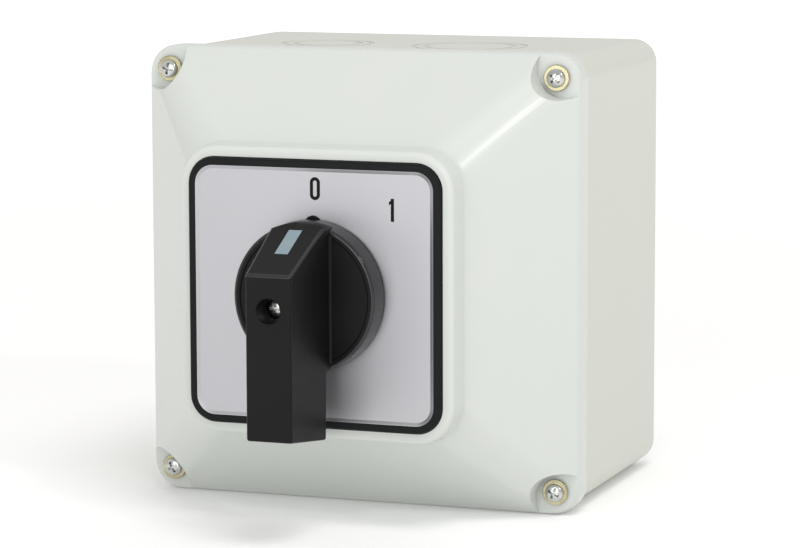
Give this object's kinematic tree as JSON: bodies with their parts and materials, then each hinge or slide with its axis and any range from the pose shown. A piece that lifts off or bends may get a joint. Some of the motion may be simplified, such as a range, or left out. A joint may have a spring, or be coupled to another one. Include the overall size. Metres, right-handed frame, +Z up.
{
  "type": "rotary isolator switch",
  "caption": "Surface-mounted rotary isolator: grey moulded box, pyramid lid, square dial and black lever handle that turns a cam switch inside.",
  "frame": {"origin": "centre of the four wall fixing holes, on the flat back of the box that lies against the wall", "axes": "+Z up, +Y into the wall, so the lid and handle face -Y, +X to the right seen from the front"},
  "size_m": [0.1546, 0.1806, 0.1546],
  "materials": {
    "enclosure_grey": "fine satin moulded plastic, light grey",
    "brass": "turned, bright",
    "zinc_plated_steel": "yellow passivated zinc plating, worn bright on the drive faces",
    "seal_rubber": "matt black moulded rubber",
    "frame_black": "satin black moulded plastic",
    "dial_aluminium": "satin anodised, pressed edge",
    "numeral_ink": "black print",
    "handle_black": "black moulded plastic, satin with a fine grain",
    "indicator_white": "pale blue-grey insert",
    "shaft_steel": "bright drawn steel",
    "switch_body": "matt thermoset moulding, warm light grey",
    "detent_black": "satin black moulded plastic",
    "cam_red": "red-brown moulded plastic",
    "plunger_ivory": "ivory moulded plastic",
    "contact_copper": "bright copper alloy with silver tips",
    "spring_steel": "drawn spring wire"
  },
  "bodies": {
    "enclosure": {"base_box": "enclosure_grey", "post_inserts": "brass", "earth_terminal": "brass", "earth_screw": "zinc_plated_steel"},
    "lid_set": {"lid": "enclosure_grey", "lid_gasket": "seal_rubber", "lid_screws": "zinc_plated_steel", "lid_screw_seals": "seal_rubber", "frame_gasket": "seal_rubber", "dial_frame": "frame_black", "dial_plate": "dial_aluminium", "dial_numerals": "numeral_ink", "dial_screws": "zinc_plated_steel", "front_seal": "seal_rubber", "shaft_seal": "seal_rubber", "detent_housing": "switch_body", "detent_rollers": "shaft_steel", "detent_carriers": "detent_black", "detent_springs": "spring_steel", "stage_housing_1": "switch_body", "stage_housing_2": "switch_body", "upper_spring_1": "spring_steel", "upper_spring_2": "spring_steel", "lower_spring_1": "spring_steel", "lower_spring_2": "spring_steel", "fixed_contacts_1": "contact_copper", "fixed_contacts_2": "contact_copper", "terminal_cages_1": "zinc_plated_steel", "terminal_cages_2": "zinc_plated_steel", "terminal_screws_1": "zinc_plated_steel", "terminal_screws_2": "zinc_plated_steel", "end_plate": "switch_body", "tie_bolts": "zinc_plated_steel"},
    "rotor": {"handle": "handle_black", "indicator": "indicator_white", "handle_screw": "zinc_plated_steel", "handle_washer": "zinc_plated_steel", "drive_shaft": "shaft_steel", "detent_star": "detent_black", "cam_1": "cam_red", "cam_2": "cam_red"},
    "upper_contact_1": {"upper_plunger_1": "plunger_ivory", "upper_bridge_1": "contact_copper"},
    "lower_contact_1": {"lower_plunger_1": "plunger_ivory", "lower_bridge_1": "contact_copper"},
    "upper_contact_2": {"upper_plunger_2": "plunger_ivory", "upper_bridge_2": "contact_copper"},
    "lower_contact_2": {"lower_plunger_2": "plunger_ivory", "lower_bridge_2": "contact_copper"}
  },
  "joints": [
    {"name": "lid_lift", "type": "slide", "parent": "enclosure", "child": "lid_set", "axis": [0, -1, 0], "range_m": [0, 0.1]},
    {"name": "handle_turn", "type": "hinge", "parent": "lid_set", "child": "rotor", "pos_m": [0, -0.15, 0], "axis": [0, 1, 0], "range_deg": [0, 45]},
    {"name": "upper_contact_1_slide", "type": "slide", "parent": "lid_set", "child": "upper_contact_1", "axis": [0, 0, -1], "range_m": [0, 0.003], "deforming": ["upper_spring_1"]},
    {"name": "lower_contact_1_slide", "type": "slide", "parent": "lid_set", "child": "lower_contact_1", "axis": [0, 0, 1], "range_m": [0, 0.003], "deforming": ["lower_spring_1"]},
    {"name": "upper_contact_2_slide", "type": "slide", "parent": "lid_set", "child": "upper_contact_2", "axis": [0, 0, -1], "range_m": [0, 0.003], "deforming": ["upper_spring_2"]},
    {"name": "lower_contact_2_slide", "type": "slide", "parent": "lid_set", "child": "lower_contact_2", "axis": [0, 0, 1], "range_m": [0, 0.003], "deforming": ["lower_spring_2"]}
  ],
  "couplings": [
    {"joint": "upper_contact_1_slide", "follows": "handle_turn", "m_per_rad": 0.0038},
    {"joint": "lower_contact_1_slide", "follows": "handle_turn", "m_per_rad": 0.0038},
    {"joint": "upper_contact_2_slide", "follows": "handle_turn", "m_per_rad": 0.0038},
    {"joint": "lower_contact_2_slide", "follows": "handle_turn", "m_per_rad": 0.0038}
  ]
}
